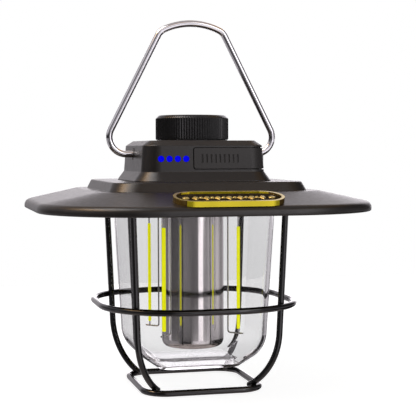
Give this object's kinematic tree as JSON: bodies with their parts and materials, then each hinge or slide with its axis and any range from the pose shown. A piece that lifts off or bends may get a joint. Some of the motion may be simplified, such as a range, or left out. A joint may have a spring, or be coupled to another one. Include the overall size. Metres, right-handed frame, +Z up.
{
  "type": "camping lantern",
  "caption": "Hanging camp lantern: square hat with dimmer knob and wire bail over a clear shade with light filaments, in a wire guard it stands on.",
  "frame": {"origin": "on the ground under the lantern's axis, at the bottom of the base frame", "axes": "+Z up along the axis, -Y towards the front with the charge lights and the nameplate, +X to the right seen from the front"},
  "size_m": [0.126, 0.126, 0.1423],
  "materials": {
    "housing": "satin moulded",
    "knob": "fine ribbed",
    "flap": "satin",
    "steel": "plated",
    "board_black": "moulded",
    "indicator_blue": "lit",
    "lead_white": "moulded",
    "board_green": "solder mask",
    "screw_black": "black oxide",
    "brass_plain": "turned",
    "felt": "felt",
    "chrome": "polished",
    "nylon": "moulded",
    "black_wire": "gloss coat",
    "clear": "clear moulded",
    "gasket": "soft",
    "plate_white": "moulded",
    "lead_steel": "drawn",
    "tube_steel": "polished",
    "foam": "foam",
    "cell_wrap": "shrink wrap",
    "sleeve": "moulded",
    "cell_lead": "insulated",
    "filament": "lit phosphor",
    "brass": "polished with dark field"
  },
  "bodies": {
    "lantern": {"bail_bush_left": "nylon", "bail_bush_right": "nylon", "base_cover": "housing", "base_frame": "black_wire", "battery_cell": "cell_wrap", "battery_tube": "tube_steel", "board_screws": "steel", "cell_leads": "cell_lead", "cell_pad": "foam", "cell_sleeve": "sleeve", "cell_tabs": "lead_steel", "cover_anchor": "flap", "cover_screws": "screw_black", "driver_board": "board_green", "filament_back_left": "filament", "filament_back_right": "filament", "filament_front_left": "filament", "filament_front_right": "filament", "filament_lead_back_left": "lead_steel", "filament_lead_back_right": "lead_steel", "filament_lead_front_left": "lead_steel", "filament_lead_front_right": "lead_steel", "filament_pins": "lead_steel", "guard_ring": "black_wire", "guard_rod_back_left": "black_wire", "guard_rod_back_right": "black_wire", "guard_rod_front_left": "black_wire", "guard_rod_front_right": "black_wire", "hat_brim": "housing", "housing_screws": "steel", "indicator_guide": "indicator_blue", "indicator_leds": "lead_white", "knob_seal": "felt", "lamp_plate": "plate_white", "nameplate": "brass", "nameplate_rivets": "brass_plain", "pot_body": "steel", "pot_nut": "brass_plain", "pot_washer": "steel", "rod_nuts": "steel", "shade": "clear", "shade_gasket": "gasket", "top_housing": "housing", "usb_socket": "steel", "usb_tongue": "board_black"},
    "bail": {"bail_handle": "chrome", "bail_clips": "steel"},
    "knob": {"dimmer_knob": "knob", "knob_insert": "brass_plain", "pot_shaft": "steel"},
    "flap": {"port_cover": "flap"}
  },
  "joints": [
    {"name": "bail_swing", "type": "hinge", "parent": "lantern", "child": "bail", "pos_m": [0, 0, 0.0904], "axis": [-1, 0, 0], "range_deg": [-102, 102]},
    {"name": "knob_turn", "type": "hinge", "parent": "lantern", "child": "knob", "pos_m": [0, 0, 0.0955], "axis": [0, 0, -1], "range_deg": [0, 270]},
    {"name": "flap_swing", "type": "hinge", "parent": "lantern", "child": "flap", "pos_m": [-0.00485, -0.02372, 0.0888], "axis": [0, 0, -1], "range_deg": [0, 120]}
  ]
}
